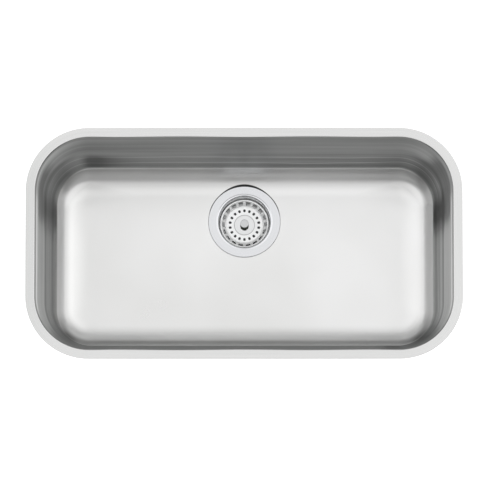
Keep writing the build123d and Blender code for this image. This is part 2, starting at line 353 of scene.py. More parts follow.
def profile_rows():
    """Offsets of the rows from the rim's edge down to where the rows lead to the waste."""
    rows = [-RIM_WIDTH + RIM_EDGE, *RIM_ROWS, bend_centre - BEND_LEAD]
    turn = pi / 2 - DRAFT
    rows += [bend_centre + BEND_R * sin(turn * i / BEND_ROWS) for i in range(BEND_ROWS)]
    near = CREASE_NEAR * sin(DRAFT)
    above, below = CREASE_ROWS
    rows += [bend_end + (wall_end - near - bend_end) * i / WALL_ROWS for i in range(WALL_ROWS + 1)]
    rows += [wall_end - near + near * i / above for i in range(1, above + 1)]
    rows += [wall_end + near * i / below for i in range(1, below + 1)]
    ends = (cos(DRAFT) - near / EDGE_R, cos(DRAFT) - (FLOOR_FROM - wall_end) / EDGE_R)
    first, last = (atan2(v, (1 - v * v) ** 0.5) for v in ends)
    for i in range(1, EDGE_ROWS + 1):
        angle = first + (last - first) * i / EDGE_ROWS
        rows.append(wall_end + EDGE_R * (cos(DRAFT) - sin(angle)))
    return rows


def lifted(x, y, offset, out, drop=0.0):
    """A point on the bowl's upper face, or drop millimetres into the sheet."""
    depth, slope = surface(offset, out)
    drop -= crease(offset, out)
    push = drop * sin(slope)
    if offset > bend_centre - SPRING_RIM:
        push += springback(x, y, depth)
    return (x + out[0] * push, y + out[1] * push, -depth - drop * cos(slope))


def column_points(column):
    """One column's upper and lower points, from the rim's edge to the waste hole, with offsets."""
    cx, cy, nx, ny = column
    upper, lower, tags = [], [], []

    def add(x, y, offset, out):
        upper.append(lifted(x, y, offset, out))
        lower.append(lifted(x, y, offset, out, SHEET))
        tags.append(offset)

    for offset in profile_rows():
        reach = CORNER_R - offset
        add(cx + nx * reach, cy + ny * reach, offset, (nx, ny))
    # across the floor towards the waste
    reach = CORNER_R - FLOOR_FROM
    dx, dy = cx + nx * reach, cy + ny * reach - DRAIN_Y
    far = hypot(dx, dy)
    ux, uy = dx / far, dy / far

    def place(r):
        return ux * r, DRAIN_Y + uy * r

    def floor_z(r):
        return -surface(*inset(*place(r)))[0]

    def recess_z(r):
        return SEAT_Z + (r - SEAT_R) / tan(SEAT_DRAFT)

    def on_flat(r):
        return inset(*place(r))[0] > floor_start

    edge = last_where(lambda r: floor_z(r) - recess_z(r) > 0, SEAT_R, far)
    start = edge + SEAT_ROUND
    flat = last_where(on_flat, start, far) if on_flat(start) else start
    turn = start + max(flat - start, FLAT_SHARE * (far - start))
    radii = [far + (turn - far) * i / FILLET_ROWS for i in range(1, FILLET_ROWS + 1)]
    radii += [turn + (start - turn) * i / FLAT_ROWS for i in range(1, FLAT_ROWS + 1)]
    for r in radii:
        add(*place(r), *inset(*place(r)))
    # the recess: a rounded edge, its wall and the seat
    corners = [
        (start, floor_z(start)), (edge, recess_z(edge)),
        (edge - SEAT_ROUND_DOWN * sin(SEAT_DRAFT),
         recess_z(edge) - SEAT_ROUND_DOWN * cos(SEAT_DRAFT)),
    ]
    steps = []
    for i in range(1, ROUND_ROWS + 1):
        t = i / ROUND_ROWS
        shares = ((1 - t) ** 2, 2 * (1 - t) * t, t ** 2)
        steps.append(tuple(sum(s * c[k] for s, c in zip(shares, corners)) for k in (0, 1)))
    steps.append((SEAT_R + SEAT_FOOT * tan(SEAT_DRAFT), SEAT_Z + SEAT_FOOT))
    steps += [(SEAT_R - run, SEAT_Z + rise) for run, rise in SEAT_FOOT_ROUND]
    steps += [(SEAT_MIDDLE, SEAT_Z), (HOLE_R, SEAT_Z)]
    for r, z in steps:
        upper.append((*place(r), z))
        out = SHEET if r > SEAT_R else 0.0
        lower.append((*place(r + out), min(z, SEAT_Z + SEAT_UNDER) - SHEET))
        tags.append(SEAT_TAG)
    return upper, lower, tags


def seat_painted_shade(point):
    """Painted shade as a dark line on the recess's wall, most where the wall is tall, behind the
    waste.
    """
    r = hypot(point[0], point[1] - DRAIN_Y)
    behind = (point[1] - DRAIN_Y) / r
    return SEAT_PAINTED_SHADE * smooth(*SEAT_SHADE_BEHIND, behind) * smooth(*SEAT_SHADE_RADII, r), 0.0, 1.0


def corner_painted_shade(side, end, past_short, past_long, middle, depth):
    """Painted shade in and next to a corner, which stands in for its dark reflections."""
    short_shade, middle_shade, long_shade = CORNER_PAINTED_SHADE[side, end]
    middle_shade *= middle
    if end == "front":
        patch = short_shade * bell(past_short, *FRONT_SHORT) + middle_shade
        patch += long_shade * bell(past_long, *FRONT_LONG)
        return patch * bell(depth, *FRONT_DEPTH)
    patch = (short_shade * bell(past_short, *BACK_SHORT) + middle_shade) * smooth(*BACK_DEPTH, depth)
    drawn_out = smooth(*BACK_LONG, past_long)
    drawn_out *= exp(-max(past_long - BACK_LONG[1], 0.0) / BACK_LONG_TAIL)
    patch += long_shade * drawn_out * smooth(*BACK_LONG_DEPTH, depth)
    start = UPPER_START[side]
    near_end = smooth(start, start + UPPER_RISE, past_short) * smooth(*UPPER_END, past_short)
    return patch + graded(depth, UPPER_PAINTED_SHADE[side] * near_end, *UPPER_DEPTHS)


def fillet_shine(tilt, ny, on_arc, side):
    """Painted highlight on the fillet: lower down at the back and front, least in the corners."""
    shine = graded(tilt, *SIDE_SHINE)
    if ny > 0:
        shine += (graded(tilt, *BACK_SHINE) - shine) * ny * ny
    if ny < 0:
        shine += (graded(tilt, *FRONT_SHINE) - shine) * ny * ny
    return shine + CORNER_SHARE * (graded(tilt, *CORNER_SHINE[side]) - shine) * on_arc


def tone(column, offset, point):
    """Painted shade at a point of the sheet, painted highlight there, and how far it is wall."""
    if offset == SEAT_TAG:
        return seat_painted_shade(point)
    cx, cy, nx, ny = column
    side = "left" if cx < 0 else "right"
    end = "back" if cy > 0 else "front"
    depth, slope = surface(offset, (nx, ny))
    tilt = degrees(slope)
    on_arc = 4 * nx * nx * ny * ny
    on_wall = smooth(*WALL_START, offset)
    run = crease_run(offset, (nx, ny))
    # the crease gets a painted highlight, least in the corners
    crease_highlight = bell(run, 0.0, CREASE_HIGHLIGHT_HALF) * (1 - CREASE_HIGHLIGHT_CORNER * on_arc)
    if ny < -0.5:
        crease_highlight *= CREASE_HIGHLIGHT_FRONT
    share = on_wall * smooth(*WALL_FOOT, run) * (1 - crease_highlight)
    # painted shade on the walls, with bands of it at given depths on the short walls, which stands
    # in for their darker reflections
    short_side = WALL_PAINTED_SHADE[side] * (1 - graded(depth, *SHORT_TOP))
    short_side += graded(depth, *SHORT_LOW) - graded(depth, *SHORT_FOOT)
    short_side += sum(add * bell(depth, place, width) for place, width, add in SIDE_LINES)
    painted_shade = short_side * nx * nx + WALL_PAINTED_SHADE[end] * ny * ny
    # runs along the walls past the ends of the corner, and the turn round it
    beyond = hypot(abs(cx) - HALF_X, abs(cy) - HALF_Y)
    turn = atan2(abs(ny), abs(nx))
    reach = CORNER_R - CORNER_MEASURE
    past_short = beyond if ny == 0 else -turn * reach - beyond
    past_long = beyond if nx == 0 else (turn - pi / 2) * reach - beyond
    middle = bell(turn, *CORNER_MIDDLE[end]) if beyond < 0.01 else 0.0
    # painted shade in and next to the corners
    painted_shade += CORNER_SHADE_STRENGTH * corner_painted_shade(side, end, past_short, past_long, middle, depth)
    # below the crease the front of the fillet gets painted shade high up, and the corners do too
    low_shade = graded(tilt, *FRONT_HIGH_SHADE) * ny * ny if ny < 0 else 0.0
    if offset > bend_end:
        low_shade += on_arc ** 0.5 * smooth(*CORNER_FADE, tilt) * (1 - share) * painted_shade
        low_shade += graded(tilt, CORNER_SOFT[end], *CORNER_SOFT_SLOPES) * on_arc
        if end == "front":
            low_shade += graded(tilt, *FRONT_SOFT) * on_arc * (1 - share)
    # painted shade makes the bend at the opening a thin dark line and the rim a little darker at
    # the left
    rim = RIM_PAINTED_SHADE[side] * nx * nx * (1 - on_wall)
    line = (BEND_PAINTED_SHADE * ny * ny + BEND_CORNER_PAINTED_SHADE * on_arc) * bell(offset, *BEND_LINE)
    line += BEND_SIDE_PAINTED_SHADE * nx ** 4 * bell(offset, *BEND_SIDE_LINE)
    # under that line the top of the short walls gets a painted highlight
    top = graded(depth, *TOP_PAINTED_HIGHLIGHT) * smooth(*TOP_FADE[end], past_short)
    # painted highlight on the fillet, along the crease and at the top of the short walls
    shine = max(fillet_shine(tilt, ny, on_arc, side) if run > 0 else 0.0, crease_highlight, top)
    return share * painted_shade + low_shade + rim + line, shine, on_wall * (1 - CREASE_HIGHLIGHT_GRAIN * crease_highlight)


def grain_runs(columns, upper_rows):
    """Run round the bowl and run down each column's loop, in metres, for the grain."""
    reach = CORNER_R - GRAIN_OFFSET
    around = [0.0]
    for a, b in zip(columns, columns[1:] + columns[:1]):
        dx = a[0] + a[2] * reach - b[0] - b[2] * reach
        dy = a[1] + a[3] * reach - b[1] - b[3] * reach
        around.append(around[-1] + MM * hypot(dx, dy))
    down = []
    for upper in upper_rows:
        runs = [0.0]
        for a, b in zip(upper, upper[1:]):
            runs.append(runs[-1] + (Vector(b) - Vector(a)).length * MM)
        down.append(runs[::-1] + GRAIN_RIM + [GRAIN_UNDER + r for r in runs])
    return around, down


def make_bowl():
    columns = bowl_columns()
    count = len(columns)
    upper_rows, lower_rows, tag_rows = zip(*(column_points(column) for column in columns))
    depth_rows = len(upper_rows[0])
    edge_rows = len(GRAIN_RIM)
    loops = []
    for (cx, cy, nx, ny), upper, lower in zip(columns, upper_rows, lower_rows):
        reach = CORNER_R + RIM_WIDTH
        rim = (cx + nx * reach, cy + ny * reach)
        loops.append(upper[::-1] + [(*rim, -RIM_EDGE), (*rim, RIM_EDGE - SHEET)] + lower)
    tall = len(loops[0])
    verts = [tuple(v * MM for v in p) for loop in loops for p in loop]
    around, down = grain_runs(columns, upper_rows)
    faces, uvs = [], []
    for i in range(count):
        j = (i + 1) % count
        for k in range(tall):
            m = (k + 1) % tall
            faces.append((i * tall + k, j * tall + k, j * tall + m, i * tall + m))
            uvs += [around[i], down[i][k], around[i + 1], down[j][k]]
            uvs += [around[i + 1], down[j][m], around[i], down[i][m]]
    mesh = bpy.data.meshes.new("pressed_bowl")
    mesh.from_pydata(verts, [], faces)
    mesh.uv_layers.new(name="grain").data.foreach_set("uv", uvs)
    tones = {"painted_shade": [], "painted_highlight": [], "on_wall": []}
    for column, upper, tags in zip(columns, upper_rows, tag_rows):
        top = [tone(column, offset, point) for offset, point in zip(tags, upper)]
        for place, name in enumerate(tones):
            tones[name] += [t[place] for t in top[::-1]] + [0.0] * (edge_rows + depth_rows)
    for name, values in tones.items():
        mesh.attributes.new(name, "FLOAT", "POINT").data.foreach_set("value", values)
    # the rim and walls are brushed; the floor, its fillet and the underside are satin
    brushed_rows = sum(offset < wall_end + BRUSHED_END for offset in profile_rows())
    kinds = []
    for k in range(tall):
        row = depth_rows - 1 - k
        kinds.append(0 if -edge_rows <= row < brushed_rows else 1)
    mesh.polygons.foreach_set("material_index", kinds * count)
    mesh.update()
    mesh.validate()
    for polygon in mesh.polygons:
        polygon.use_smooth = True
    mesh.set_sharp_from_angle(angle=BOWL_SHARP)
    piece = bpy.data.objects.new("pressed_bowl", mesh)
    scene.collection.objects.link(piece)
    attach(piece, "sink")
    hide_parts("bowl")
    return piece


# Turned and pierced pieces of the waste, in millimetres
def rounded_path(points, radii, steps=7):
    """A run of (radius, height) points whose inner corners are rounded to the given radii."""
    path = [tuple(points[0])]
    for i, radius in enumerate(radii, 1):
        corner = Vector(points[i])
        if radius <= 0:
            path.append(tuple(corner))
            continue
        back = (Vector(points[i - 1]) - corner).normalized()
        ahead = (Vector(points[i + 1]) - corner).normalized()
        half = acos(max(-1.0, min(1.0, back.dot(ahead)))) / 2
        middle = corner + (back + ahead).normalized() * (radius / sin(half))
        start = corner + back * (radius / tan(half)) - middle
        end = corner + ahead * (radius / tan(half)) - middle
        first = atan2(start.y, start.x)
        turn = (atan2(end.y, end.x) - first + pi) % (2 * pi) - pi
        # a point just before and after the arc keeps the shading of the flats even
        support = min(0.3, 0.2 * radius + 0.05)
        path.append(tuple(middle + start + back * support))
        for k in range(steps + 1):
            angle = first + turn * k / steps
            path.append((middle.x + radius * cos(angle), middle.y + radius * sin(angle)))
        path.append(tuple(middle + end + ahead * support))
    path.append(tuple(points[-1]))
    return path


def rounded_box(half_x, half_y, radius):
    """Distance outside a rounded rectangle, for cutting windows."""
    def outside(x, y):
        dx, dy = abs(x) - half_x + radius, abs(y) - half_y + radius
        return hypot(max(dx, 0.0), max(dy, 0.0)) + min(max(dx, dy), 0.0) - radius
    return outside


class Turned:
    """A closed section turned about the waste's axis, with bands pierced in equal sectors."""

    def __init__(self, name, section, turns=288):
        self.name = name
        self.section = section
        self.turns = turns
        self.verts = []
        self.faces = []
        self.pierced = set()
        self.rows = [self.ring(r, z) for r, z in section]

    def point(self, angle, r, z):
        self.verts.append((r * cos(angle) * MM, (DRAIN_Y + r * sin(angle)) * MM, z * MM))
        return len(self.verts) - 1

    def ring(self, r, z):
        if r < 1e-6:
            return [self.point(0, 0, z)] * self.turns
        return [self.point(2 * pi * j / self.turns, r, z) for j in range(self.turns)]

    def row(self, point):
        return min(range(len(self.section)), key=lambda k: hypot(
            self.section[k][0] - point[0], self.section[k][1] - point[1]))

    def pierce(self, upper, lower, count, first, outside, levels):
        """Cuts one opening per sector through the band between two rows of each face."""
        loops = []
        for start, end in (upper, lower):
            k, m = self.row(start), self.row(end)
            self.pierced.add(min(k, m))
            loops.append(self.sector_loops(k, m, count, first, outside, levels))
        for top, low in zip(*loops):
            n = len(top)
            for i in range(n):
                self.faces.append((top[i], top[(i + 1) % n], low[(i + 1) % n], low[i]))

    def sector_loops(self, k, m, count, first, outside, levels):
        """Fills a band round its openings and gives the loop of points along each opening."""
        (r0, z0), (r1, z1) = self.section[k], self.section[m]
        slant = hypot(r1 - r0, z1 - z0)
        width = self.turns // count
        pitch = 2 * pi / count
        middle_r = (r0 + r1) / 2

        def on_band(angle, v):
            return self.point(angle, r0 + (r1 - r0) * v, z0 + (z1 - z0) * v)

        starts = [2 * pi * (first + s * width) / self.turns for s in range(count)]
        seams = [[on_band(angle, v / levels) for v in range(1, levels)] for angle in starts]
        result = []
        for s in range(count):
            turns = [(first + s * width + j) % self.turns for j in range(width + 1)]
            after = seams[(s + 1) % count]
            edge = [(self.rows[k][t], j / width, 0.0) for j, t in enumerate(turns)]
            edge += [(after[v - 1], 1.0, v / levels) for v in range(1, levels)]
            edge += [(self.rows[m][t], j / width, 1.0) for j, t in reversed(list(enumerate(turns)))]
            edge += [(seams[s][v - 1], 0.0, v / levels) for v in range(levels - 1, 0, -1)]
            loop = []
            for _, u, v in edge:
                x, y = (u - 0.5) * pitch * middle_r, (v - 0.5) * slant
                part = last_where(lambda t: outside(x * t, y * t) < 0, 0.0, 1.0, 24)
                angle = starts[s] + pitch * (0.5 + (u - 0.5) * part)
                loop.append(on_band(angle, 0.5 + (v - 0.5) * part))
            n = len(edge)
            for i in range(n):
                self.faces.append((edge[i][0], edge[(i + 1) % n][0], loop[(i + 1) % n], loop[i]))
            result.append(loop)
        return result

    def build(self, body, node, sharp=35.0):
        tall = len(self.section)
        for k in range(tall):
            if k in self.pierced:
                continue
            a, b = self.rows[k], self.rows[(k + 1) % tall]
            for j in range(self.turns):
                face = (a[j], a[(j + 1) % self.turns], b[(j + 1) % self.turns], b[j])
                face = tuple(dict.fromkeys(face))
                if len(face) > 2:
                    self.faces.append(face)
        mesh = bpy.data.meshes.new(self.name)
        mesh.from_pydata(self.verts, [], self.faces)
        return finish_piece(mesh, body, node, sharp)


def finish_piece(mesh, body, node, sharp):
    shaped = bmesh.new()
    shaped.from_mesh(mesh)
    bmesh.ops.recalc_face_normals(shaped, faces=shaped.faces)
    shaped.to_mesh(mesh)
    shaped.free()
    for polygon in mesh.polygons:
        polygon.use_smooth = True
    mesh.set_sharp_from_angle(angle=radians(sharp))
    piece = bpy.data.objects.new(mesh.name, mesh)
    scene.collection.objects.link(piece)
    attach(piece, body)
    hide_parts(node)
    return piece


def second_look(piece, chosen):
    """Gives the second material to the faces chosen by radius, height and lean outwards and up."""
    for polygon in piece.data.polygons:
        x, y, z = polygon.center
        y -= DRAIN_Y * MM
        r = hypot(x, y)
        outwards = (polygon.normal.x * x + polygon.normal.y * y) / r
        if chosen(r / MM, z / MM, outwards, polygon.normal.z):
            polygon.material_index = 1


def make_flange():
    """The lip, its rolled outer edge, the throat and the cup with its slotted floor."""
    lip_foot, lip_under, lip_in = -191.45, -190.8, 57.95
    cup_r, cup_z, sheet = 42.0, -240.0, 0.9
    slot_out, slot_in, bore_r = 28.0, 11.5, 6.4
    slot_middle_r, slot_turn, slot_half = 19.5, radians(37.1), 6.5
    under_r, under_z = cup_r + sheet, cup_z - sheet
    upper = rounded_path(
        [(59.1, lip_foot), (59.45, -189.98), (46.4, -189.9), (45.6, -189.66), (cup_r, -189.92),
         (cup_r, cup_z), (slot_out, cup_z), (slot_in, cup_z), (bore_r, cup_z)],
        [0.8, 0.5, 0.4, 3.2, 6.0, 0, 0],
    )
    lower = rounded_path(
        [(bore_r, under_z), (slot_in, under_z), (slot_out, under_z), (under_r, under_z),
         (under_r, lip_under), (lip_in, lip_under), (lip_in, lip_foot)],
        [0, 0, 6.9, 2.3, 0.3],
    )
    flange = Turned("waste_lip_and_cup", upper + lower)
    slot_reach = slot_turn / 2 * slot_middle_r + slot_half
    flange.pierce(
        ((slot_out, cup_z), (slot_in, cup_z)), ((slot_out, under_z), (slot_in, under_z)),
        count=4, first=36, outside=rounded_box(slot_reach, slot_half, slot_half), levels=10,
    )
    return flange.build("sink", "waste_flange")


def make_basket():
    """The strainer basket: a rolled bead, a sloping wall with windows, a flat floor with holes."""
    bead_r, bead_z, bead, bead_steps = 38.8, -213.5, 1.7, 28
    mouth_r = 38.4
    floor_z, floor_r, bore_r = -228.1, 31.0, 3.1
    wall = 0.8
    inner_bend, outer_bend = 3.8, 4.6
    window_foot, window_top = 2.2, 12.4
    window = rounded_box(3.9, 4.82, 1.0)
    hole_in, hole_out = 21.5, 26.5
    hole = rounded_box(2.0, 2.35, 1.6)
    rib_r, rib_z, facing_in = (28.5, 37.8), (-227.9, -215.2), -0.1
    height = bead_z - floor_z
    under_z = floor_z - wall
    lean = (mouth_r - floor_r) / height
    across = (wall / hypot(1, lean), -wall * lean / hypot(1, lean))

    def inner(rise):
        return (floor_r + lean * rise, floor_z + rise)

    def outer(rise):
        return (inner(rise)[0] + across[0], inner(rise)[1] + across[1])

    def meets_bead(line):
        """The angle on the bead's circle where a face of the wall runs into it."""
        def below(rise):
            r, z = line(rise)
            return hypot(r - bead_r, z - bead_z) > bead
        r, z = line(last_where(below, 0.5 * height, height))
        return atan2(z - bead_z, r - bead_r)

    first = meets_bead(inner) + 2 * pi
    last = meets_bead(outer)
    roll = []
    for i in range(bead_steps + 1):
        angle = first + (last - first) * i / bead_steps
        roll.append((bead_r + bead * cos(angle), bead_z + bead * sin(angle)))
    upper = rounded_path(
        [inner(window_top), inner(window_foot), (floor_r, floor_z), (hole_out, floor_z),
         (hole_in, floor_z), (bore_r, floor_z)],
        [0, inner_bend, 0, 0],
    )
    under_r = outer(0)[0] - lean * (wall + across[1])
    lower = rounded_path(
        [(bore_r, under_z), (hole_in, under_z), (hole_out, under_z), (under_r, under_z),
         outer(window_foot), outer(window_top)],
        [0, 0, outer_bend, 0],
    )
    basket = Turned("strainer_basket", roll[::-1] + upper + lower)
    basket.pierce(
        (inner(window_top), inner(window_foot)), (outer(window_top), outer(window_foot)),
        count=18, first=72, outside=window, levels=10,
    )
    basket.pierce(
        ((hole_out, floor_z), (hole_in, floor_z)), ((hole_out, under_z), (hole_in, under_z)),
        count=18, first=64, outside=hole, levels=6,
    )
    piece = basket.build("basket", "basket_cup")
    # the ribs' inner sides between the windows get a paler, less metallic copy of the steel, a
    # painted highlight
    second_look(piece, lambda r, z, outwards, up: (
        rib_r[0] < r < rib_r[1] and rib_z[0] < z < rib_z[1] and outwards < facing_in))
    return piece


def make_knob_base():
    disc_r, bore_r, foot_z, top_z = 16.4, 3.1, -228.1, -227.1
    section = rounded_path(
        [(bore_r, foot_z), (disc_r, foot_z), (disc_r, top_z), (bore_r, top_z)], [0.2, 0.5], 4
    )
    return Turned("knob_disc", section, 192).build("basket", "knob_base")


def make_knob():
    knob_r, bore_r, foot_z, top_z, bore_z = 6.9, 4.3, -227.1, -210.1, -224.0
    painted_side_r, painted_side_top, upright = 6.4, -211.2, 0.5
    section = rounded_path(
        [(bore_r, foot_z), (knob_r, foot_z), (knob_r, top_z), (0, top_z), (0, bore_z),
         (bore_r, bore_z), (bore_r, foot_z)],
        [0.25, 0.8, 0, 0, 0], 6,
    )[:-1]
    piece = Turned("lift_knob", section, 128).build("basket", "knob")
    # its side is painted dark as a painted reflection, up to just below the rounded top
    second_look(piece, lambda r, z, outwards, up: (
        r > painted_side_r and z < painted_side_top and abs(up) < upright))
    return piece


bowl = make_bowl()
flange = make_flange()
basket = make_basket()
knob_base = make_knob_base()
knob = make_knob()

# Materials. The helpers take and give sockets, so that one node feeds the next.
MIX_SHARE, MIX_FIRST, MIX_SECOND, MIX_COLOUR = 0, 6, 7, 2  # a mix node's sockets for colours
NOISE_MIDDLE = (0.3, 0.7)  # where nearly all of a noise lies
WHITE = (1.0, 1.0, 1.0, 1.0)


def new_material(name, metal=0.0):
    material = bpy.data.materials.new(name)
    material.use_nodes = True
    tree = material.node_tree
    shader = tree.nodes["Principled BSDF"]
    shader.inputs["Metallic"].default_value = metal
    return material, tree, shader


def add_node(tree, kind, **values):
    node = tree.nodes.new(kind)
    for key, value in values.items():
        if key in node.inputs:
            node.inputs[key].default_value = value
        else:
            setattr(node, key, value)
    return node


def feed(tree, node, place, source):
    """Links an output to one of a node's inputs, or gives the input a plain value."""
    if isinstance(source, bpy.types.NodeSocket):
        tree.links.new(source, node.inputs[place])
    else:
        node.inputs[place].default_value = source


def maths(tree, operation, *sources):
    node = add_node(tree, "ShaderNodeMath", operation=operation)
    for place, source in enumerate(sources):
        feed(tree, node, place, source)
    return node.outputs["Value"]


def mixed(tree, share, first, second, blend="MIX"):
    """Two colours, mixed by a share."""
    node = add_node(tree, "ShaderNodeMix", data_type="RGBA", blend_type=blend)
    feed(tree, node, MIX_SHARE, share)
    feed(tree, node, MIX_FIRST, first)
    feed(tree, node, MIX_SECOND, second)
    return node.outputs[MIX_COLOUR]


def multiplied(tree, colour, *others):
    """Colours multiplied together."""
    for other in others:
        colour = mixed(tree, 1.0, colour, other, "MULTIPLY")
    return colour


def ramp(tree, source, stops, interpolation="LINEAR"):
    """Colours at places along a value."""
    node = tree.nodes.new("ShaderNodeValToRGB")
    node.color_ramp.interpolation = interpolation
    elements = node.color_ramp.elements
    while len(elements) < len(stops):
        elements.new(0.5)
    for element, (place, colour) in zip(elements, stops):
        element.position = place
        element.color = (*colour, 1.0)
    feed(tree, node, "Fac", source)
    return node.outputs["Color"]


def noise_ramp(tree, source, low, high):
    """Colours from the low to the high places of a noise."""
    return ramp(tree, source, list(zip(NOISE_MIDDLE, (low, high))))


def span(tree, source, low, high, first=0.0, last=1.0, smoothly=False):
    """A range of a value, spread over another range."""
    node = tree.nodes.new("ShaderNodeMapRange")
    node.interpolation_type = "SMOOTHSTEP" if smoothly else "LINEAR"
    node.inputs["From Min"].default_value = low
    node.inputs["From Max"].default_value = high
    node.inputs["To Min"].default_value = first
    node.inputs["To Max"].default_value = last
    feed(tree, node, "Value", source)
    return node.outputs["Result"]


def axes(tree, vector):
    """A vector's X, Y and Z."""
    node = add_node(tree, "ShaderNodeSeparateXYZ")
    feed(tree, node, "Vector", vector)
    return node.outputs


def object_place(tree):
    return add_node(tree, "ShaderNodeTexCoord").outputs["Object"]


def grain_place(tree):
    return add_node(tree, "ShaderNodeUVMap", uv_map="grain").outputs["UV"]


def attribute(tree, name):
    return add_node(tree, "ShaderNodeAttribute", attribute_name=name).outputs["Fac"]


def noise(tree, vector, scale, detail, **values):
    node = add_node(tree, "ShaderNodeTexNoise", Scale=scale, Detail=detail, **values)
    feed(tree, node, "Vector", vector)
    return node.outputs["Fac"]


def stretched(tree, vector, scale, location=(0.0, 0.0, 0.0)):
    node = add_node(tree, "ShaderNodeMapping", Scale=scale, Location=location)
    feed(tree, node, "Vector", vector)
    return node.outputs["Vector"]


def grain_noise(tree, around, down, detail=4.0, roughness=0.6):
    """Noise drawn out along the bowl's outline: counts per metre round it and down it."""
    place = stretched(tree, grain_place(tree), (around, down, 1.0))
    return noise(tree, place, 1.0, detail, Roughness=roughness)


def wavy_line(tree, down, width, bend, seed):
    """A thin line at a run down the profile, which wanders as it goes round the bowl."""
    waves_per_metre = 4.0
    place = grain_place(tree)
    swayed = stretched(tree, place, (waves_per_metre, 0.0, 0.0), (seed, seed, 0.0))
    sway = noise(tree, swayed, 1.0, 2.0, noise_dimensions="2D")
    shift = span(tree, sway, 0.0, 1.0, -down - bend, -down + bend)
    away = maths(tree, "ABSOLUTE", maths(tree, "ADD", axes(tree, place)["Y"], shift))
    return span(tree, away, 0.0, width, 1.0, 0.0, True)


def bumped(tree, shader, height, strength, distance):
    bump = add_node(tree, "ShaderNodeBump", Strength=strength, Distance=distance)
    feed(tree, bump, "Height", height)
    feed(tree, shader, "Normal", bump.outputs["Normal"])


def grey(value):
    return (value, value, value)


def brushed_steel():
    """Rim and walls: a grain along the outline, and the pressing's bands and lines on the walls."""
    material, tree, shader = new_material("bowl_steel_brushed", 1.0)
    shader.inputs["Anisotropic"].default_value = 0.8
    shader.inputs["Anisotropic Rotation"].default_value = 0.25
    tangent = add_node(tree, "ShaderNodeTangent", direction_type="UV_MAP", uv_map="grain")
    feed(tree, shader, "Tangent", tangent.outputs["Tangent"])
    wall = attribute(tree, "on_wall")
    streaks = grain_noise(tree, 6.0, 900.0)
    bands = grain_noise(tree, 1.6, 48.0, 3.0, 0.55)
    # painted shade darkens the base colour here
    shade = ramp(tree, span(tree, attribute(tree, "painted_shade"), 0.0, PAINTED_SHADE_FULL), [
        (0.0, (0.675, 0.675, 0.671)), (0.387, (0.53, 0.536, 0.531)), (0.5, (0.44, 0.446, 0.442)),
        (0.667, (0.20, 0.203, 0.201)), (1.0, (0.03, 0.031, 0.03)),
    ])
    fine = noise_ramp(tree, streaks, grey(0.95), grey(1.0))
    marks = noise_ramp(tree, bands, grey(0.62), grey(1.0))
    for line in WALL_LINES:
        marks = mixed(tree, wavy_line(tree, *line), marks, (*grey(1.25), 1.0))
    pressed = mixed(tree, span(tree, wall, 0.5, 1.0), WHITE, marks)
    colour = multiplied(tree, shade, fine, pressed)
    # painted highlight lightens the base colour here
    bright = mixed(tree, attribute(tree, "painted_highlight"), colour, (0.95, 0.95, 0.945, 1.0))
    feed(tree, shader, "Base Color", bright)
    feed(tree, shader, "Roughness", span(tree, wall, 0.0, 1.0, 0.2, 0.4))
    bumped(tree, shader, streaks, 0.08, 0.0004)
    return material


def satin_steel():
    """Floor and underside: an even satin with faint clouds of polish, with painted highlight in the
    fillet and painted shade in the recess and the fillet's corners.
    """
    material, tree, shader = new_material("bowl_steel_satin", 1.0)
    place = object_place(tree)
    clouds = noise(tree, place, 9.0, 3.0)
    patches = noise(tree, place, 5.0, 2.0)
    fine = noise(tree, place, 700.0, 3.0)
    painted_highlight = attribute(tree, "painted_highlight")
    # the floor is a little paler towards the right
    paler = span(tree, axes(tree, place)["X"], -0.12, 0.22, -0.12, 0.16, True)
    uneven = maths(tree, "ADD", patches, paler)
    shade = noise_ramp(tree, uneven, (0.655, 0.655, 0.649), (0.715, 0.715, 0.713))
    speck = noise_ramp(tree, fine, grey(0.975), grey(1.0))
    # painted shade on the fillet and in the recess darkens the base colour
    painted_darkening = ramp(tree, span(tree, attribute(tree, "painted_shade"), 0.0, PAINTED_SHADE_FULL), [
        (0.0, grey(1.0)), (0.387, grey(0.785)), (0.5, grey(0.65)), (0.667, grey(0.3)),
        (1.0, grey(0.045)),
    ])
    colour = multiplied(tree, shade, speck, painted_darkening)
    bright = mixed(tree, painted_highlight, colour, (0.93, 0.93, 0.925, 1.0))
    feed(tree, shader, "Base Color", bright)
    satin = span(tree, clouds, *NOISE_MIDDLE, 0.27, 0.33)
    feed(tree, shader, "Roughness", maths(tree, "MULTIPLY_ADD", painted_highlight, 0.12, satin))
    bumped(tree, shader, fine, 0.06, 0.0003)
    return material


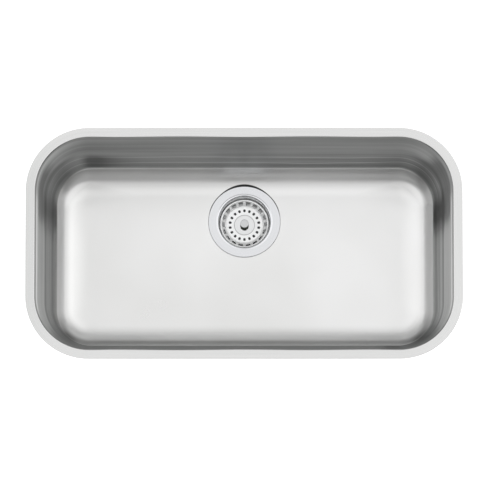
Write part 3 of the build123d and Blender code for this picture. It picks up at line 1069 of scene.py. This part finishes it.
def spun_steel(name, colour, roughness, spread, inside=None, painted_darkening=None, metal=1.0):
    """Metal turned about the waste's axis, with fine rings.

    inside: colour and roughness that it takes on below the lip.
    painted_darkening: radius, half width and strength of a dark ring of painted shade.
    """
    material, tree, shader = new_material(name, metal)
    place = object_place(tree)
    centred = add_node(tree, "ShaderNodeVectorMath", operation="SUBTRACT")
    feed(tree, centred, 0, place)
    feed(tree, centred, 1, (0, DRAIN_Y * MM, 0))
    parts = axes(tree, centred.outputs["Vector"])
    flat = add_node(tree, "ShaderNodeCombineXYZ")
    feed(tree, flat, "X", parts["X"])
    feed(tree, flat, "Y", parts["Y"])
    length = add_node(tree, "ShaderNodeVectorMath", operation="LENGTH")
    feed(tree, length, 0, flat.outputs["Vector"])
    radius = length.outputs["Value"]
    rings = add_node(tree, "ShaderNodeTexNoise", noise_dimensions="1D", Scale=RINGS, Detail=3.0)
    feed(tree, rings, "W", radius)
    lines = rings.outputs["Fac"]
    shade = noise_ramp(tree, lines, tuple(0.94 * c for c in colour), colour)
    clouds = noise(tree, place, 60.0, 3.0)
    rough = span(tree, clouds, *NOISE_MIDDLE, roughness - spread, roughness + spread)
    if inside:
        deep = span(tree, parts["Z"], -0.196, -0.206, 0.0, 1.0, True)
        shade = mixed(tree, deep, shade, (*inside[0], 1.0))
        rough = maths(tree, "MULTIPLY_ADD", deep, inside[1] - roughness, rough)
    if painted_darkening:
        shade_ring_r, half, strength = painted_darkening
        away = maths(tree, "ABSOLUTE", maths(tree, "SUBTRACT", radius, shade_ring_r))
        near = span(tree, away, 0.4 * half, half, strength, 0.0, True)
        shade = mixed(tree, near, shade, (*grey(0.05), 1.0))
    feed(tree, shader, "Base Color", shade)
    feed(tree, shader, "Roughness", rough)
    bumped(tree, shader, lines, 0.05, 0.0003)
    return material


def moulded(name, colour, roughness, grain, depth, gloss=0.5):
    """Moulded plastic, rubber or pressed sheet with a fine surface grain."""
    material, tree, shader = new_material(name)
    shader.inputs["Specular IOR Level"].default_value = gloss
    spread = 0.06
    place = object_place(tree)
    speck = noise(tree, place, grain, 4.0)
    clouds = noise(tree, place, 25.0, 3.0)
    shade = noise_ramp(tree, clouds, tuple(0.88 * c for c in colour), colour)
    feed(tree, shader, "Base Color", shade)
    rough = span(tree, speck, *NOISE_MIDDLE, roughness - spread, roughness + spread)
    feed(tree, shader, "Roughness", rough)
    bumped(tree, shader, speck, 0.25, depth)
    return material


PALE = (0.97, 0.975, 0.975)
looks = {
    "bowl_steel": brushed_steel(),
    "waste_steel": spun_steel(
        "waste_steel_spun", (0.68, 0.688, 0.705), 0.15, 0.02, inside=((0.84, 0.845, 0.85), 0.45)),
    "basket_steel": spun_steel("basket_steel_bright", (0.70, 0.705, 0.71), 0.05, 0.01),
    "fastener_steel": spun_steel("fastener_steel_turned", (0.55, 0.55, 0.545), 0.3, 0.04),
    "brass": spun_steel("brass_turned", (0.62, 0.44, 0.18), 0.3, 0.04),
    "black_rubber": moulded("black_rubber_matt", (0.022, 0.022, 0.023), 0.6, 900.0, 0.0002),
    "sound_pad": moulded("sound_pad_sheet", (0.085, 0.086, 0.09), 0.75, 500.0, 0.0006),
    "white_plastic": moulded("white_plastic_moulded", (0.74, 0.74, 0.725), 0.42, 700.0, 0.0001),
    "black_plastic": moulded("black_plastic_moulded", (0.03, 0.03, 0.032), 0.4, 700.0, 0.0001),
}
# each scene piece's materials, in the order of its faces' material numbers
piece_looks = [
    (bowl, looks["bowl_steel"], satin_steel()),
    (flange, looks["waste_steel"]),
    (basket,
     # a ring of painted shade round the edge of the knob's disc
     spun_steel("basket_steel_satin", PALE, 0.36, 0.02, painted_darkening=(0.0167, 0.0007, 0.6), metal=0.5),
     # the ribs' paler copy of the steel is a painted highlight
     spun_steel("basket_rib_painted_highlight", PALE, 0.42, 0.02, metal=0.1)),
    (knob_base, looks["basket_steel"]),
    (knob,
     spun_steel("knob_steel_bright", (0.56, 0.565, 0.57), 0.12, 0.01),
     # the knob's side, painted dark as a painted reflection
     moulded("knob_side_painted_reflection", (0.105, 0.112, 0.095), 0.7, 700.0, 0.0001, 0.0)),
]
for piece, *materials in piece_looks:
    for material in materials:
        piece.data.materials.append(material)
slot_of = {p["node"]: p["material_slot"] for p in frame["record"]["subparts"]}
for name, node in nodes.items():
    node.data.materials.clear()
    node.data.materials.append(looks[slot_of[name]])


def make_floor():
    """A pale floor, white for what sees it directly or in a mirror, that keeps the soft shadow."""
    z = cad_box[0][2]
    reach = 30.0
    sides = 96
    angles = [2 * pi * i / sides for i in range(sides)]
    verts = [(0, 0, z)] + [(reach * cos(angle), reach * sin(angle), z) for angle in angles]
    faces = [(0, 1 + i, 1 + (i + 1) % sides) for i in range(sides)]
    mesh = bpy.data.meshes.new("studio_floor")
    mesh.from_pydata(verts, [], faces)
    floor = bpy.data.objects.new("studio_floor", mesh)
    scene.collection.objects.link(floor)
    material, tree, shader = new_material("studio_floor_white")
    shader.inputs["Base Color"].default_value = (*grey(0.55), 1.0)
    shader.inputs["Roughness"].default_value = 0.9
    shader.inputs["Specular IOR Level"].default_value = 0.0
    shader.inputs["Emission Color"].default_value = WHITE
    ray = add_node(tree, "ShaderNodeLightPath").outputs
    mirrored = maths(tree, "MAXIMUM", ray["Is Glossy Ray"], ray["Is Transmission Ray"])
    in_mirror = maths(tree, "MULTIPLY", mirrored, 0.42)
    lift = maths(tree, "MULTIPLY_ADD", ray["Is Camera Ray"], 0.75, in_mirror)
    feed(tree, shader, "Emission Strength", lift)
    mesh.materials.append(material)


def make_world():
    """One broad soft source overhead, long in the bowl's own direction, in a grey room."""
    world = bpy.data.worlds.new("studio")
    scene.world = world
    world.use_nodes = True
    tree = world.node_tree
    back = tree.nodes["Background"]
    parts = axes(tree, add_node(tree, "ShaderNodeTexCoord").outputs["Generated"])

    def profile(axis, stops):
        """Brightness against the angle from straight up, in degrees, along one axis."""
        angle = maths(tree, "ARCTAN2", parts[axis], parts["Z"])
        share = span(tree, angle, radians(-90), radians(90))
        return ramp(tree, share, [((a + 90) / 180, grey(v)) for a, v in stops], "EASE")

    along = profile("X", [
        (-88, 0.6), (-72, 0.92), (-58, 1.12), (-40, 1.18), (-12, 1.22), (-3, 1.0), (4, 1.0),
        (11, 1.2), (18, 1.34), (28, 1.42), (40, 1.4), (52, 1.22), (60, 1.1), (72, 0.92), (88, 0.6),
    ])
    across = profile("Y", [
        (-88, 0.25), (-66, 0.5), (-50, 0.72), (-32, 0.88), (-18, 1.0), (22, 1.0), (33, 0.9),
        (48, 0.8), (66, 0.6), (88, 0.25),
    ])
    level = maths(tree, "MULTIPLY", maths(tree, "MULTIPLY", along, across), SKY)
    feed(tree, back, "Strength", level)
    back.inputs["Color"].default_value = WHITE


def make_camera():
    """From the front, 8.5 degrees off straight down."""
    data = bpy.data.cameras.new("camera")
    camera = bpy.data.objects.new("camera", data)
    scene.collection.objects.link(camera)
    away = Vector((
        cos(CAMERA_TILT) * sin(CAMERA_TURN), -sin(CAMERA_TILT),
        cos(CAMERA_TILT) * cos(CAMERA_TURN),
    ))
    camera.location = Vector(CAMERA_AIM) + CAMERA_AWAY * away
    camera.rotation_euler = (CAMERA_TILT, CAMERA_TURN, 0)
    data.sensor_width = SENSOR
    data.lens = SENSOR * CAMERA_AWAY / VIEW_WIDTH
    data.clip_end = 60.0
    scene.camera = camera


make_floor()
make_world()
make_camera()
scene.view_settings.view_transform = "Standard"
